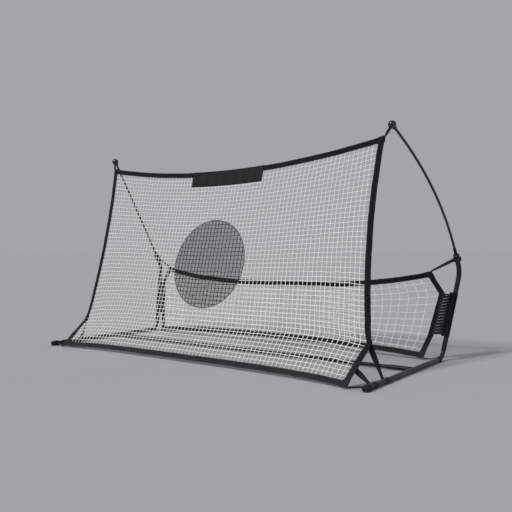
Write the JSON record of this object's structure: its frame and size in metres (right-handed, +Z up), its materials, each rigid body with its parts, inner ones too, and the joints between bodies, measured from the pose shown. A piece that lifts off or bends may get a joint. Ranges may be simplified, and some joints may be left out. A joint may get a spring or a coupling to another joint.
{
  "type": "pitch back rebounder",
  "caption": "Two-sided ball rebounder: black steel base, bowed fibreglass poles, a tall fine white net in front and a low laced net behind.",
  "frame": {"origin": "centre of the whole object's bounding box, on the ground under it", "axes": "+X to the right along the width seen from the tall net's side, +Y from the tall net to the low net, +Z up"},
  "size_m": [2.2562, 0.9848, 1.181],
  "materials": {
    "black_steel": "black powder coat, satin",
    "dark_steel": "black plated ferrule",
    "spring_steel": "bright spring steel",
    "rubber": "matt black rubber",
    "moulded_black": "moulded black nylon",
    "fibreglass": "smooth black fibreglass rod",
    "gloss_black": "glossy black moulding",
    "white_net": "white knotless twine",
    "dark_mesh": "fine black see-through mesh",
    "elastic": "braided black elastic cord",
    "black_webbing": "woven black polyester webbing"
  },
  "bodies": {
    "frame": {"base_side_left": "black_steel", "base_side_right": "black_steel", "base_cap_left": "rubber", "base_cap_right": "rubber", "cross_tube_left": "black_steel", "cross_tube_right": "black_steel", "upright_left": "black_steel", "upright_right": "black_steel", "collar_left": "moulded_black", "collar_right": "moulded_black", "pole_ferrule_left": "dark_steel", "pole_ferrule_right": "dark_steel", "pole_left": "fibreglass", "pole_right": "fibreglass", "ball_tip_left": "gloss_black", "ball_tip_right": "gloss_black", "stub_spring_left": "spring_steel", "stub_spring_right": "spring_steel", "centre_spring": "spring_steel", "upright_spring_left": "spring_steel", "upright_spring_right": "spring_steel", "front_mesh": "white_net", "front_border_top": "black_webbing", "front_border_bottom": "black_webbing", "front_border_left": "black_webbing", "front_border_right": "black_webbing", "target_patch": "dark_mesh", "banner": "black_webbing", "top_tie_left": "elastic", "top_tie_right": "elastic", "knee_strap_left": "black_webbing", "knee_strap_right": "black_webbing", "short_strap_left": "black_webbing", "short_strap_right": "black_webbing", "corner_tie_left": "elastic", "corner_tie_right": "elastic", "rear_mesh": "white_net", "rear_border_top": "black_webbing", "rear_border_bottom": "black_webbing", "rear_border_left": "black_webbing", "rear_border_right": "black_webbing", "rear_top_tie_left": "elastic", "rear_top_tie_right": "elastic", "rear_foot_tie_left": "elastic", "rear_foot_tie_right": "elastic", "lacing_sleeve_left": "black_webbing", "lacing_sleeve_right": "black_webbing", "lacing_left": "elastic", "lacing_right": "elastic"},
    "stub_button_left": {"stub_button_left": "spring_steel"},
    "stub_button_right": {"stub_button_right": "spring_steel"},
    "centre_button": {"centre_button": "spring_steel"},
    "upright_button_left": {"upright_button_left": "spring_steel"},
    "upright_button_right": {"upright_button_right": "spring_steel"}
  },
  "joints": [
    {"name": "stub_left_press", "type": "slide", "parent": "frame", "child": "stub_button_left", "axis": [0, 0, -1], "range_m": [0, 0.0042], "stiffness_N_per_m": 900, "springref_m": -0.002, "deforming": ["stub_spring_left"]},
    {"name": "stub_right_press", "type": "slide", "parent": "frame", "child": "stub_button_right", "axis": [0, 0, -1], "range_m": [0, 0.0042], "stiffness_N_per_m": 900, "springref_m": -0.002, "deforming": ["stub_spring_right"]},
    {"name": "centre_press", "type": "slide", "parent": "frame", "child": "centre_button", "axis": [0, 0, -1], "range_m": [0, 0.0042], "stiffness_N_per_m": 900, "springref_m": -0.002, "deforming": ["centre_spring"]},
    {"name": "upright_left_press", "type": "slide", "parent": "frame", "child": "upright_button_left", "axis": [-0.9918, -0.0292, -0.1242], "range_m": [0, 0.0042], "stiffness_N_per_m": 900, "springref_m": -0.002, "deforming": ["upright_spring_left"]},
    {"name": "upright_right_press", "type": "slide", "parent": "frame", "child": "upright_button_right", "axis": [0.9918, -0.0292, -0.1242], "range_m": [0, 0.0042], "stiffness_N_per_m": 900, "springref_m": -0.002, "deforming": ["upright_spring_right"]}
  ]
}
